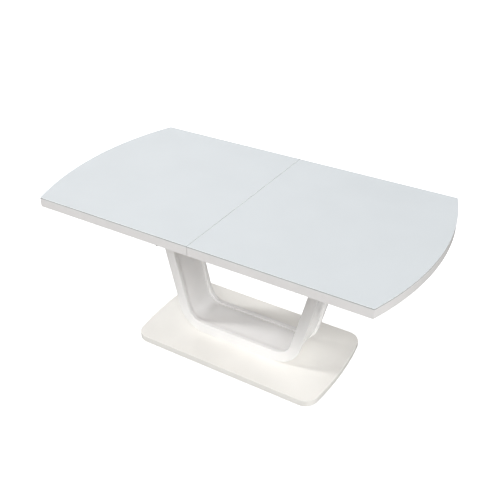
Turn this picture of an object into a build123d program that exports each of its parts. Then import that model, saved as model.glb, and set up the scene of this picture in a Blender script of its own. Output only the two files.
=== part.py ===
"""Extendable dining table: two sliding glass-topped halves on a U-shaped pedestal.

Frame: origin on the floor under the middle of the table, +X along its length,
+Y towards its rear long side, +Z up. Millimetres. Drawn closed.
"""
import math
import os

from build123d import *

os.makedirs("parts", exist_ok=True)

# ---- driving sizes -------------------------------------------------------------------
TOP_L = 1630.0        # closed length over the bowed ends
TOP_W = 900.0
TOP_H = 750.0
BOW = 82.0            # how far each end bows out past its corners
EDGE_T = 42.0         # depth of the visible edge
GLASS_T = 5.0
BOARD_T = 18.0
STRIP_W = 40.0        # build-up strips under the boards' edges
SEAM = 1.5            # gap between the two closed halves
LEAF_L = 400.0        # length the stored leaf adds
LEAF_GAP = 10.0       # extra opening at each half, to swing the leaf in

BASE_L = 944.0
BASE_W = 526.0
BASE_TOP = 36.0
BASE_BOW = 22.0
BASE_CORNER_R = 65.0
GLIDE_T = 5.0

PED_D = 200.0         # pedestal depth along Y
PANEL_T = 20.0        # front and rear U panels
SKIN_T = 8.0          # bent sheets between the panels
RECESS = 10.0         # how far the sheets sit inside the panels' outline
PED_HALF = 286.5      # half-width of the outer corner's apex at the base
BAND_T = 54.0         # U's thickness at the bottom
LEG_T = 46.0          # and along the legs
FLARE = 13.5          # legs lean out from vertical, degrees
R_OUT = 132.0
R_IN = 75.0

RAIL_T = 30.0         # cross rails on the leg brackets
BRACKET_T = 6.0
BEAM_T = 25.0
BEAM_H = 54.0
BEAM_L = 1130.0
BEAM_Y = TOP_W / 4 + 65.0     # inner face of each side beam, clear of the folded leaf
RAIL_SIDE = 40.0      # how far the cross rails reach past the legs' tops

# ---- clearances ----------------------------------------------------------------------
RUN = 0.05            # sliding and turning fits
HOLE = 0.15           # screw holes, on radius
CUT = 0.6             # blind holes run this far past their screw

# ---- levels and positions worked out from them ---------------------------------------
TRAVEL = LEAF_L / 2 + LEAF_GAP
GLASS_Z = TOP_H - GLASS_T
BOARD_Z = GLASS_Z - BOARD_T
EDGE_Z = TOP_H - EDGE_T
BEAM_Z1 = EDGE_Z - 3
BEAM_Z0 = BEAM_Z1 - BEAM_H
RAIL_Z0 = BEAM_Z0 - RAIL_T
LEG_TOP = RAIL_Z0 - BRACKET_T
RUN_H = 22.0                        # half-height of the runners' outer channels
RUN_Z = BEAM_Z1 - RUN_H
XS = TOP_L / 2 - BOW                # where the straight long edges end
TAN, COS = math.tan(math.radians(FLARE)), math.cos(math.radians(FLARE))
LEG_X1 = PED_HALF + (LEG_TOP - BASE_TOP) * TAN       # outer face of the right leg at its top
RAIL_X0, RAIL_X1 = LEG_X1 - LEG_T / COS - RAIL_SIDE, LEG_X1 + RAIL_SIDE


def save(name, *solids):
    shape = solids[0] if len(solids) == 1 else Compound(children=list(solids))
    export_step(shape, f"parts/{name}.step")


def block(x0, x1, y0, y1, z0, z1):
    return Pos((x0 + x1) / 2, (y0 + y1) / 2, (z0 + z1) / 2) * Box(
        abs(x1 - x0), abs(y1 - y0), abs(z1 - z0))


def along_y(face, y0, y1):
    """Stand a face drawn in X and Z up and give it depth from y0 to y1."""
    return Pos(0, y1, 0) * Rot(90, 0, 0) * extrude(face, y1 - y0)


def along_x(points, x0, x1):
    """Section given as (y, z) points, run from x0 to x1."""
    face = make_face(Polyline(*[(z, y) for y, z in points], close=True))
    # local x -> +Z, local y -> +Y, thickness -> -X
    return Pos(x1, 0, 0) * Rot(0, -90, 0) * extrude(face, x1 - x0)


def rod(start, direction, r, length):
    """Cylinder from a start point along a direction."""
    plane = Plane(origin=start, z_dir=direction)
    return plane.location * Cylinder(r, length, align=(Align.CENTER, Align.CENTER, Align.MIN))


def screw(start, direction, r, length, head_r, head_h):
    """Head seated at start, shank running on along direction."""
    back = tuple(-d for d in direction)
    return rod(start, direction, r, length) + rod(start, back, head_r, head_h)


def bored(shape, starts, direction, r, length):
    for s in starts:
        shape -= rod(s, direction, r + HOLE, length + CUT)
    return shape


def mirrored(shape):
    return mirror(shape, about=Plane.YZ)


# ---- base plate and glides -------------------------------------------------------------
PLATE_ROUND, PLATE_BEVEL = 2.0, 1.5         # upper and lower edge of the plate


def base_plate():
    xe, ye = BASE_L / 2 - BASE_BOW, BASE_W / 2
    edges = (Line((-xe, -ye), (xe, -ye)) + ThreePointArc((xe, -ye), (BASE_L / 2, 0), (xe, ye))
             + Line((xe, ye), (-xe, ye)) + ThreePointArc((-xe, ye), (-BASE_L / 2, 0), (-xe, -ye)))
    face = make_face(edges)
    face = fillet(face.vertices(), BASE_CORNER_R)
    plate = Pos(0, 0, GLIDE_T) * extrude(face, BASE_TOP - GLIDE_T)
    plate = fillet(plate.edges().group_by(Axis.Z)[-1], PLATE_ROUND)
    return chamfer(plate.edges().group_by(Axis.Z)[0], PLATE_BEVEL)


glide_xy = [(x, y) for x in (-BASE_L * 0.42, 0, BASE_L * 0.42) for y in (-BASE_W * 0.4, BASE_W * 0.4)]
GLIDE_R, GLIDE_BEVEL = 18.0, 1.0
STEM_R, STEM_L = 4.0, 9.0
plate = base_plate()
plate = bored(plate, [(x, y, GLIDE_T) for x, y in glide_xy], (0, 0, 1), STEM_R, STEM_L)
glides = []
for x, y in glide_xy:
    disc = Pos(x, y, GLIDE_T / 2) * Cylinder(GLIDE_R, GLIDE_T)
    disc = chamfer(disc.edges().group_by(Axis.Z)[0], GLIDE_BEVEL)
    glides.append(disc + rod((x, y, GLIDE_T), (0, 0, 1), STEM_R, STEM_L))
save("base_glides", *glides)

# bolts come up through the plate, the foot block and the outer skin into the core block
PB_R, PB_HEAD_R, PB_HEAD_H, PB_L = 4.0, 8.0, 6.0, 38.0
PB_SINK = 9.0
PB_INSET, PB_Y = 35.0, 55.0                 # rows of bolts, in from the flat's ends and off the middle
FLAT_HALF = PED_HALF - R_OUT * math.tan(math.radians(90 - FLARE) / 2)   # flat stretch of the U's bottom
ped_bolt_xy = [(x, y) for x in (PB_INSET - FLAT_HALF, 0, FLAT_HALF - PB_INSET)
               for y in (-PB_Y, PB_Y)]
ped_bolt_at = [(x, y, GLIDE_T + PB_SINK) for x, y in ped_bolt_xy]
plate = bored(plate, ped_bolt_at, (0, 0, 1), PB_R, PB_L)
for x, y in ped_bolt_xy:
    plate -= rod((x, y, GLIDE_T - 1), (0, 0, 1), PB_HEAD_R + 1, PB_SINK + 1)
save("base_plate", plate)
save("pedestal_bolts", *[screw(s, (0, 0, 1), PB_R, PB_L, PB_HEAD_R, PB_HEAD_H) for s in ped_bolt_at])


# ---- pedestal -------------------------------------------------------------------------
def u_line(half, z, r):
    """Open U outline whose two lower corners have their apex at half and z."""
    reach = half + (LEG_TOP - z) * TAN
    return FilletPolyline((-reach, LEG_TOP), (-half, z), (half, z), (reach, LEG_TOP), radius=r)


def outer_line(d):
    """Outside of the U, moved d into the material."""
    return u_line(PED_HALF + d * TAN - d / COS, BASE_TOP + d, R_OUT - d)


def inner_line(d):
    """Inside of the U, moved d into the material."""
    half = PED_HALF + (BAND_T - d) * TAN - (LEG_T - d) / COS
    return u_line(half, BASE_TOP + BAND_T - d, R_IN + d)


def band(a, b):
    """Face between two open U lines that end at the same level."""
    ends = [Line(a @ 0, b @ 0), Line(a @ 1, b @ 1)]
    return make_face(a + b + ends)


Y_PANEL = PED_D / 2 - PANEL_T
u_face = band(outer_line(0), inner_line(0))
for name, y0 in (("front", -PED_D / 2), ("rear", Y_PANEL)):
    save(f"pedestal_{name}_panel", along_y(u_face, y0, y0 + PANEL_T))
outer_skin = along_y(band(outer_line(RECESS), outer_line(RECESS + SKIN_T)), -Y_PANEL, Y_PANEL)
inner_skin = along_y(band(inner_line(RECESS), inner_line(RECESS + SKIN_T)), -Y_PANEL, Y_PANEL)
core = along_y(band(outer_line(RECESS + SKIN_T), inner_line(RECESS + SKIN_T)), -Y_PANEL, Y_PANEL)
foot_half = FLAT_HALF - 5
foot = block(-foot_half, foot_half, -Y_PANEL, Y_PANEL, BASE_TOP, BASE_TOP + RECESS)
outer_skin = bored(outer_skin, ped_bolt_at, (0, 0, 1), PB_R, PB_L)
foot = bored(foot, ped_bolt_at, (0, 0, 1), PB_R, PB_L)
core = bored(core, ped_bolt_at, (0, 0, 1), PB_R, PB_L)
save("pedestal_foot_block", foot)

# leg brackets: a flat on the leg's top and a flange down the inner skin's recess
FLANGE_T, FLANGE_L, FLANGE_Y = 5.0, 60.0, 70.0
flange_x = (inner_line(RECESS) @ 1).X                # inner skin's face at the leg's top


def leg_bracket():
    drop, out = FLANGE_L * TAN, FLANGE_T / COS
    flange = make_face(Polyline(
        (flange_x, LEG_TOP), (flange_x - drop, LEG_TOP - FLANGE_L),
        (flange_x - drop - out, LEG_TOP - FLANGE_L), (flange_x - out, LEG_TOP), close=True))
    flat = block(RAIL_X0, RAIL_X1, -PED_D / 2, PED_D / 2, LEG_TOP, RAIL_Z0)
    return flat + along_y(flange, -FLANGE_Y, FLANGE_Y)


LS_R, LS_L, LS_HEAD_R, LS_HEAD_H = 2.5, 22.0, 5.0, 3.0       # flange screws
LS_DOWN, LS_Y = (20.0, 45.0), 45.0                           # below the leg's top, off the middle
LB_R, LB_L, LB_HEAD_R, LB_HEAD_H = 4.0, 30.0, 7.0, 5.0       # bolts up into the rails
LB_INSET, LB_Y = 14.0, 80.0
into_leg = (COS, 0, -math.sin(math.radians(FLARE)))
leg_screw_at = []
for dz in LS_DOWN:
    for y in (-LS_Y, LS_Y):
        x = flange_x - dz * TAN - FLANGE_T / COS
        leg_screw_at.append((x, y, LEG_TOP - dz))
leg_bolt_at = [(x, y, LEG_TOP) for x in (RAIL_X0 + LB_INSET, RAIL_X1 - LB_INSET)
               for y in (-LB_Y, LB_Y)]
bracket = bored(leg_bracket(), leg_screw_at, into_leg, LS_R, LS_L)
bracket = bored(bracket, leg_bolt_at, (0, 0, 1), LB_R, LB_L)
fixings = [screw(s, into_leg, LS_R, LS_L, LS_HEAD_R, LS_HEAD_H) for s in leg_screw_at]
fixings += [screw(s, (0, 0, 1), LB_R, LB_L - FLANGE_T, LB_HEAD_R, LB_HEAD_H) for s in leg_bolt_at]
save("leg_brackets", bracket, mirrored(bracket))
save("leg_fixings", *fixings, *[mirrored(f) for f in fixings])

leg_holes = [rod(s, into_leg, LS_R + HOLE, LS_L + CUT) for s in leg_screw_at]
leg_holes += [mirrored(h) for h in leg_holes]
for h in leg_holes:
    inner_skin -= h
    core -= h
save("pedestal_outer_skin", outer_skin)
save("pedestal_inner_skin", inner_skin)
HEAD_BLOCK_H = 70.0                          # spacer block at the top of each leg
MID_BLOCK_Z0, MID_BLOCK_Z1 = 300.0, 340.0    # and one half-way up
LEG_SIDE_X, LEG_FAR_X = 200.0, 600.0         # a leg lies between these
blocks = []
for z0, z1 in ((LEG_TOP - HEAD_BLOCK_H, LEG_TOP), (MID_BLOCK_Z0, MID_BLOCK_Z1)):
    blocks += [core & block(s * LEG_SIDE_X, s * LEG_FAR_X, -Y_PANEL, Y_PANEL, z0, z1) for s in (-1, 1)]
blocks += [core & block(-foot_half, foot_half, -Y_PANEL, Y_PANEL, BASE_TOP, BASE_TOP + 2 * BAND_T)]
save("pedestal_core_blocks", *blocks)

# ---- fixed frame under the top ----------------------------------------------------------
BEAM_OUT = BEAM_Y + BEAM_T
LEAF_RAIL_X0, LEAF_RAIL_X1, LEAF_RAIL_T = 185.0, 237.0, 20.0
FS_R, FS_HEAD_R, FS_HEAD_H, FS_GRIP = 2.5, 5.0, 3.0, 30.0
CROSS_INSET, LEAF_INSET = 25.0, 13.0             # screws, in from the rails' edges
beam_mid = BEAM_Y + BEAM_T / 2
cross_at = [(x, s * beam_mid, RAIL_Z0) for x in (RAIL_X0 + CROSS_INSET, RAIL_X1 - CROSS_INSET)
            for s in (-1, 1)]
leaf_at = [(x, s * beam_mid, BEAM_Z0 - LEAF_RAIL_T)
           for x in (LEAF_RAIL_X0 + LEAF_INSET, LEAF_RAIL_X1 - LEAF_INSET) for s in (-1, 1)]
cross = block(RAIL_X0, RAIL_X1, -BEAM_OUT, BEAM_OUT, RAIL_Z0, BEAM_Z0)
cross = bored(cross, cross_at, (0, 0, 1), FS_R, RAIL_T + FS_GRIP)
cross = bored(cross, leg_bolt_at, (0, 0, 1), LB_R, LB_L)
leaf_rail = block(LEAF_RAIL_X0, LEAF_RAIL_X1, -BEAM_OUT, BEAM_OUT, BEAM_Z0 - LEAF_RAIL_T, BEAM_Z0)
leaf_rail = bored(leaf_rail, leaf_at, (0, 0, 1), FS_R, LEAF_RAIL_T + FS_GRIP)

# runner channels: u runs from the beam's inner face towards the table's middle line
CH_W, CH_T, LIP = 14.0, 2.0, 4.0
RUN_X0, RUN_X1 = 30.0, 560.0                      # outer channels on the right-hand side
MID_X0, MID_X1 = 60.0, 558.0
INN_X0, INN_X1 = 76.0, 556.0
NECK_U, NECK_H = 16.0, 10.0
ANGLE_T = 3.0


def channel(u0, u1, h, t, lip):
    """Lipped C section open towards +u, as (u, z) points about the runner's axis."""
    up = [(u0, h), (u1, h), (u1, h - t - lip), (u1 - t, h - t - lip), (u1 - t, h - t), (u0 + t, h - t)]
    down = [(u, -z) for u, z in up]
    return up + down[::-1]


def tee(u0, u1, u2, h, neck):
    return [(u0, -h), (u1, -h), (u1, -neck), (u2, -neck), (u2, neck), (u1, neck), (u1, h), (u0, h)]


def runner(section, side, x0, x1):
    """side is +1 for the rear beam and -1 for the front one."""
    return along_x([(side * (BEAM_Y - u), RUN_Z + z) for u, z in section], x0, x1)


outer_sec = channel(0, CH_W, RUN_H, CH_T, LIP)
mid_sec = channel(CH_T + RUN, CH_W - CH_T - RUN, RUN_H - CH_T - RUN, CH_T, LIP)
inner_h = RUN_H - 2 * CH_T - 2 * RUN
inner_sec = tee(2 * CH_T + 2 * RUN, CH_W - 2 * CH_T - 2 * RUN, NECK_U, inner_h, NECK_H)

RS_R, RS_L, RS_HEAD_R, RS_HEAD_H = 2.0, 16.0, 4.0, 0.9         # channel to beam, thin heads
TAB_IN, TAB_OUT, TAB_H = 20.0, 5.0, 12.0                        # tabs past the channel's ends
TAB_SCREW = 12.0                                               # screw, out from the channel's end
outer_channels, mids, inners = {}, {}, {}
for side in (-1, 1):
    ch = runner(outer_sec, side, RUN_X0, RUN_X1)
    # a flat tab past each end of the channel takes its screws
    for x0, x1 in ((RUN_X0 - TAB_IN, RUN_X0), (RUN_X1, RUN_X1 + TAB_OUT)):
        ys = sorted((side * BEAM_Y, side * (BEAM_Y - CH_T)))
        ch += block(x0, x1, ys[0], ys[1], RUN_Z - TAB_H, RUN_Z + TAB_H)
    outer_channels[side] = ch
    mids[side] = runner(mid_sec, side, MID_X0, MID_X1)
    inners[side] = runner(inner_sec, side, INN_X0, INN_X1)

chan_at = [(RUN_X0 - TAB_SCREW, side * (BEAM_Y - CH_T), RUN_Z) for side in (-1, 1)]
chan_screws = []
for s, side in zip(chan_at, (-1, 1)):
    into = (0, side, 0)
    outer_channels[side] = bored(outer_channels[side], [s], into, RS_R, RS_L)
    chan_screws.append(screw(s, into, RS_R, RS_L, RS_HEAD_R, RS_HEAD_H + 1))
chan_screws += [mirrored(c) for c in chan_screws]
save("runner_outer_channels", *outer_channels.values(), *[mirrored(c) for c in outer_channels.values()])
save("left_runner_middles", *[mirrored(m) for m in mids.values()])
save("right_runner_middles", *mids.values())

# ---- synchroniser: one pinion between two racks ------------------------------------------
MOD, TEETH, PRESS = 1.5, 16, math.radians(25)
PITCH_R = MOD * TEETH / 2
ADD, DED = 0.95 * MOD, 1.2 * MOD
BACKLASH = 0.35
GEAR_T, GEAR_OFF = 10.0, 38.0                       # thickness, and clearance to the rear beam
SYNC_Y0, SYNC_Y1 = BEAM_Y - GEAR_OFF - GEAR_T, BEAM_Y - GEAR_OFF
SYNC_Z = RUN_Z - 5.0                                # pinion's axis
RACK_REACH = TRAVEL + 25.0
RACK_END = 500.0
RACK_BACK = 10.0                                    # bar behind the teeth
AXLE_R = 4.0
BR_X, BR_Y1 = 24.0, BEAM_Y


def involute(a):
    return math.tan(a) - a


def pinion():
    base_r = PITCH_R * math.cos(PRESS)
    root, tip = PITCH_R - DED, PITCH_R + ADD
    half_pitch = (math.pi * MOD / 2 - BACKLASH) / 2 / PITCH_R

    def half_angle(r):
        a = math.acos(min(1.0, base_r / r))
        return half_pitch + involute(PRESS) - involute(a)

    flank = [max(root, base_r) + (tip - max(root, base_r)) * k / 6 for k in range(7)]
    pts = []
    for n in range(TEETH):
        mid = math.pi / 2 + n * 2 * math.pi / TEETH
        side = [(root, half_angle(flank[0]) + 0.02)] + [(r, half_angle(r)) for r in flank]
        pts += [(r * math.cos(mid - a), r * math.sin(mid - a)) for r, a in side]
        pts += [(r * math.cos(mid + a), r * math.sin(mid + a)) for r, a in reversed(side)]
    face = make_face(Polyline(*pts, close=True)) - Circle(AXLE_R + RUN)
    gear = Pos(0, 0, SYNC_Z) * along_y(face, SYNC_Y0, SYNC_Y1)
    return gear


def rack(x0, x1):
    """Toothed bar above the pinion, with a space over it, solid from pitch line to back."""
    pitch = math.pi * MOD
    half = (pitch / 2 - BACKLASH) / 2
    tan = math.tan(PRESS)
    n0, n1 = math.ceil(-RACK_REACH / pitch), math.floor(RACK_REACH / pitch)
    z_pitch = SYNC_Z + PITCH_R
    z_root, z_tip = z_pitch + DED, z_pitch - ADD
    pts = [(x0, z_root + RACK_BACK), (x0, z_root)]
    for n in range(n0, n1):
        mid = (n + 0.5) * pitch
        wide, narrow = half + DED * tan, half - ADD * tan
        pts += [(mid - wide, z_root), (mid - narrow, z_tip), (mid + narrow, z_tip), (mid + wide, z_root)]
    pts += [(x1, z_root), (x1, z_root + RACK_BACK)]
    return along_y(make_face(Polyline(*pts, close=True)), SYNC_Y0, SYNC_Y1)


rack_top = SYNC_Z + PITCH_R + DED + RACK_BACK
left_rack = rack(-RACK_END, RACK_REACH)
right_rack = mirror(mirrored(left_rack), about=Plane.XY.offset(SYNC_Z))
HANG, HANG_IN, HANG_OUT = 40.0, 100.0, 15.0         # hanger blocks and where the inner ones stand
left_hang_x = [(-RACK_END, -RACK_END + HANG), (-HANG_IN, -HANG_IN + HANG)]
right_hang_x = [(RACK_REACH + HANG_OUT, RACK_REACH + HANG_OUT + HANG), (RACK_END - HANG, RACK_END)]
low_top = 2 * SYNC_Z - (SYNC_Z + PITCH_R + DED)
save("left_rack", left_rack)
save("right_rack", right_rack)
save("left_rack_hangers", *[block(a, b, SYNC_Y0, SYNC_Y1, rack_top, BOARD_Z) for a, b in left_hang_x])
save("right_rack_hangers", *[block(a, b, SYNC_Y0, SYNC_Y1, low_top, BOARD_Z) for a, b in right_hang_x])
save("sync_pinion", pinion())

# bracket on the rear beam, with lips that hold both racks in mesh
LIP_T, LIP_IN = 3.0, 4.0
GUIDE_X = 20.0
sync_bracket = block(-BR_X, BR_X, SYNC_Y1 + RUN, BR_Y1, BEAM_Z0, BEAM_Z1)
for z0, z1 in ((rack_top + RUN, rack_top + RUN + LIP_T),
               (2 * SYNC_Z - rack_top - RUN - LIP_T, 2 * SYNC_Z - rack_top - RUN)):
    sync_bracket += block(-GUIDE_X, GUIDE_X, SYNC_Y0, SYNC_Y1 + LIP_IN, z0, z1)
axle_at = (0, SYNC_Y0 - RUN, SYNC_Z)
AXLE_L, AXLE_HEAD_R, AXLE_HEAD_H = 30.0, 7.0, 3.0
sync_bracket = bored(sync_bracket, [axle_at], (0, 1, 0), AXLE_R, AXLE_L)
save("sync_axle", screw(axle_at, (0, 1, 0), AXLE_R, AXLE_L, AXLE_HEAD_R, AXLE_HEAD_H))
# the rear channels' inner tabs would meet the bracket, so it is relieved behind them
relief_y, relief_h = BEAM_Y - CH_T - RS_HEAD_H - 1.6, TAB_H + 1
sync_bracket -= block(-BR_X - 1, BR_X + 1, relief_y, BEAM_Y + 1, RUN_Z - relief_h, RUN_Z + relief_h)
save("sync_bracket", sync_bracket)

front_beam = block(-BEAM_L / 2, BEAM_L / 2, -BEAM_OUT, -BEAM_Y, BEAM_Z0, BEAM_Z1)
rear_beam = block(-BEAM_L / 2, BEAM_L / 2, BEAM_Y, BEAM_OUT, BEAM_Z0, BEAM_Z1)
for sx in (-1, 1):
    ups = [(sx * x, y, z) for x, y, z in cross_at] + [(sx * x, y, z) for x, y, z in leaf_at]
    front_beam = bored(front_beam, [p for p in ups if p[1] < 0], (0, 0, 1), FS_R, RAIL_T + FS_GRIP)
    rear_beam = bored(rear_beam, [p for p in ups if p[1] > 0], (0, 0, 1), FS_R, RAIL_T + FS_GRIP)
    front_beam = bored(front_beam, [(sx * chan_at[0][0], *chan_at[0][1:])], (0, -1, 0), RS_R, RS_L)
    rear_beam = bored(rear_beam, [(sx * chan_at[1][0], *chan_at[1][1:])], (0, 1, 0), RS_R, RS_L)
save("front_side_beam", front_beam)
save("rear_side_beam", rear_beam)
save("left_cross_rail", mirrored(cross))
save("right_cross_rail", cross)
save("leaf_rails", leaf_rail, mirrored(leaf_rail))
frame_screws = [screw(s, (0, 0, 1), FS_R, RAIL_T + FS_GRIP, FS_HEAD_R, FS_HEAD_H) for s in cross_at]
frame_screws += [screw(s, (0, 0, 1), FS_R, LEAF_RAIL_T + FS_GRIP, FS_HEAD_R, FS_HEAD_H) for s in leaf_at]
frame_screws += [mirrored(f) for f in frame_screws]
save("frame_screws", *frame_screws, *chan_screws)


# ---- sliding halves -------------------------------------------------------------------
ARRIS = 0.8                                       # on the glass's upper edge


def half_outline(inset, seam=SEAM / 2):
    """Right half of the top, seam edge to bowed end, every edge but the seam moved in."""
    x0, x1, y1 = seam, XS - inset, TOP_W / 2 - inset
    arc = ThreePointArc((x1, -y1), (XS + BOW - inset, 0), (x1, y1))
    return make_face(Line((x0, -y1), (x1, -y1)) + arc + Line((x1, y1), (x0, y1))
                     + Line((x0, y1), (x0, -y1)))


board = Pos(0, 0, BOARD_Z) * extrude(half_outline(0), BOARD_T)
glass = Pos(0, 0, GLASS_Z) * extrude(half_outline(0), GLASS_T)
glass = chamfer(glass.edges().group_by(Axis.Z)[-1], ARRIS)
ring = Pos(0, 0, EDGE_Z) * extrude(half_outline(0), BOARD_Z - EDGE_Z)
inside = half_outline(STRIP_W, SEAM / 2 + STRIP_W)
edge_ring = ring - Pos(0, 0, EDGE_Z) * extrude(inside, BOARD_Z - EDGE_Z)
y_in = TOP_W / 2 - STRIP_W
x_in0, x_in1 = SEAM / 2 + STRIP_W, XS - STRIP_W
strips = {
    "front": edge_ring & block(0, x_in1, -TOP_W, -y_in, EDGE_Z, BOARD_Z),
    "rear": edge_ring & block(0, x_in1, y_in, TOP_W, EDGE_Z, BOARD_Z),
    "seam": edge_ring & block(0, x_in0, -y_in, y_in, EDGE_Z, BOARD_Z),
    "end": edge_ring & block(x_in1, TOP_L, -TOP_W, TOP_W, EDGE_Z, BOARD_Z)}
for name, strip in strips.items():
    save(f"left_{name}_strip", mirrored(strip))
    save(f"right_{name}_strip", strip)
save("left_glass", mirrored(glass))
save("right_glass", glass)

# slide angles: down to the inner runner's neck, and out over the beam to the board
AS_R, AS_L, AS_HEAD_R, AS_HEAD_H = 2.0, 14.0, 4.0, 2.0
NS_L = 9.0                                        # into the neck
ANGLE_INSET = 24.0                                # end screws, in from the angle's ends
STAGGER, UP_OFF = 12.0, 8.0                       # neck screws along X, upward ones out over the beam
angle_x = (INN_X0 + ANGLE_INSET, (INN_X0 + INN_X1) / 2, INN_X1 - ANGLE_INSET)
FLAT_U = -20.0


def slide_angle(side):
    sec = [(NECK_U, -NECK_H), (NECK_U + ANGLE_T, -NECK_H), (NECK_U + ANGLE_T, BOARD_Z - RUN_Z),
           (FLAT_U, BOARD_Z - RUN_Z), (FLAT_U, BOARD_Z - RUN_Z - ANGLE_T),
           (NECK_U, BOARD_Z - RUN_Z - ANGLE_T)]
    return runner(sec, side, INN_X0, INN_X1)


angles, angle_screws, board_holes = {}, [], []
for side in (-1, 1):
    ang = slide_angle(side)
    up_at = [(x, side * (BEAM_Y + UP_OFF), BOARD_Z - ANGLE_T) for x in angle_x]
    neck_at = [(x + STAGGER, side * (BEAM_Y - NECK_U - ANGLE_T), RUN_Z) for x in angle_x]
    into = (0, side, 0)
    ang = bored(bored(ang, up_at, (0, 0, 1), AS_R, AS_L), neck_at, into, AS_R, NS_L)
    inners[side] = bored(inners[side], neck_at, into, AS_R, NS_L)
    angles[side] = ang
    board_holes += up_at
    angle_screws += [screw(s, (0, 0, 1), AS_R, AS_L, AS_HEAD_R, AS_HEAD_H) for s in up_at]
    angle_screws += [screw(s, into, AS_R, NS_L, AS_HEAD_R, AS_HEAD_H) for s in neck_at]
board = bored(board, board_holes, (0, 0, 1), AS_R, AS_L)
save("right_slide_angles", *angles.values())
save("left_slide_angles", *[mirrored(a) for a in angles.values()])
save("right_runner_inners", *inners.values())
save("left_runner_inners", *[mirrored(i) for i in inners.values()])
save("right_angle_screws", *angle_screws)
save("left_angle_screws", *[mirrored(a) for a in angle_screws])
left_board, right_board = mirrored(board), board

# seam pins in the left board, running into bushes in the right one
PIN_R, PIN_IN, PIN_OUT = 4.0, 16.0, 12.0
PIN_BEVEL, PIN_SPREAD = 1.5, 0.37                 # nose, and outer pins as a share of the width
BUSH_R, BUSH_L = 6.5, 16.0
pin_y = (-TOP_W * PIN_SPREAD, 0.0, TOP_W * PIN_SPREAD)
pin_z = (BOARD_Z + GLASS_Z) / 2
pins, bushes = [], []
for y in pin_y:
    pin = rod((-PIN_IN - SEAM / 2, y, pin_z), (1, 0, 0), PIN_R, PIN_IN + PIN_OUT + SEAM / 2)
    pins.append(chamfer(pin.edges().group_by(Axis.X)[-1], PIN_BEVEL))
    left_board -= rod((-PIN_IN - SEAM / 2, y, pin_z), (1, 0, 0), PIN_R + RUN, PIN_IN + 1)
    seat = rod((SEAM / 2, y, pin_z), (1, 0, 0), BUSH_R, BUSH_L)
    right_board -= rod((SEAM / 2 - 1, y, pin_z), (1, 0, 0), BUSH_R + RUN, BUSH_L + 1)
    bushes.append(seat - rod((0, y, pin_z), (1, 0, 0), PIN_R + RUN, BUSH_L - 1))
save("seam_pins", *pins)
save("seam_bushes", *bushes)

# ---- seam locks: a hooked lever on the left half catches a keeper on the right half ------
LOCK_X, LOCK_Y = -80.0, TOP_W / 2 - 58.0
HOOK_R = 130.0                                    # pivot to keeper
KEEP_R, POST_R = 4.0, 4.0
LEVER_Z0, LEVER_Z1 = EDGE_Z - 8, EDGE_Z - 2
LOCK_SWING = 22.0
NOTCH = KEEP_R + 0.35
SLEEVE_R, STUD_UP, STUD_HEAD_H = 8.0, 10.0, 4.0
ARM_HALF, HUB_R, HOOK_END_R = 9.0, 13.0, 14.0
GRIP_L, GRIP_HALF, GRIP_END_R, GRIP_BEND = 76.0, 7.0, 9.0, 10.0
KEEP_GAP = 2.0                                    # keeper past the lever, above and below


def lever():
    """Front lever about its own pivot, drawn in its locked position, hook mouth at -Y."""
    t = LEVER_Z1 - LEVER_Z0
    arm = block(0, HOOK_R, -ARM_HALF, ARM_HALF, 0, t) + Pos(0, 0, t / 2) * Cylinder(HUB_R, t)
    arm += Pos(HOOK_R, 0, t / 2) * Cylinder(HOOK_END_R, t)
    grip = block(-GRIP_L, 0, -GRIP_HALF, GRIP_HALF, 0, t) + Pos(-GRIP_L, 0, t / 2) * Cylinder(GRIP_END_R, t)
    arm += Rot(0, 0, GRIP_BEND) * grip
    slot = Cylinder(HOOK_R + NOTCH, 4 * t) - Cylinder(HOOK_R - NOTCH, 4 * t)
    arm -= slot & block(HOOK_R / 2, HOOK_R * 2, -HOOK_R, 0, -2 * t, 2 * t)
    arm -= Pos(HOOK_R, 0, 0) * Cylinder(NOTCH, 4 * t)
    return arm - Cylinder(POST_R + RUN, 4 * t)


lever_solid = Pos(LOCK_X, -LOCK_Y, LEVER_Z0) * Rot(0, 0, LOCK_SWING) * lever()
save("front_lock_lever", lever_solid)
save("rear_lock_lever", mirror(lever_solid, about=Plane.XZ))
posts, keepers = [], []
for side in (-1, 1):
    y = side * LOCK_Y
    stud = screw((LOCK_X, y, LEVER_Z0 - RUN), (0, 0, 1), POST_R, BOARD_Z - LEVER_Z0 + STUD_UP,
                 SLEEVE_R, STUD_HEAD_H)
    stud += rod((LOCK_X, y, LEVER_Z1 + RUN), (0, 0, 1), SLEEVE_R, BOARD_Z - LEVER_Z1 - RUN)
    posts.append(stud)
    kx = LOCK_X + HOOK_R
    keep = rod((kx, y, LEVER_Z0 - KEEP_GAP), (0, 0, 1), KEEP_R, BOARD_Z - LEVER_Z0 + KEEP_GAP + STUD_UP)
    keep += rod((kx, y, LEVER_Z1 + KEEP_GAP), (0, 0, 1), SLEEVE_R, BOARD_Z - LEVER_Z1 - KEEP_GAP)
    keepers.append(keep)
    left_board -= rod((LOCK_X, y, BOARD_Z - 1), (0, 0, 1), POST_R + RUN, STUD_UP + 1.5)
    right_board -= rod((kx, y, BOARD_Z - 1), (0, 0, 1), KEEP_R + RUN, STUD_UP + 1.5)
save("lock_posts", *posts)
save("lock_keepers", *keepers)
save("left_board", left_board)
save("right_board", right_board)

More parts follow.
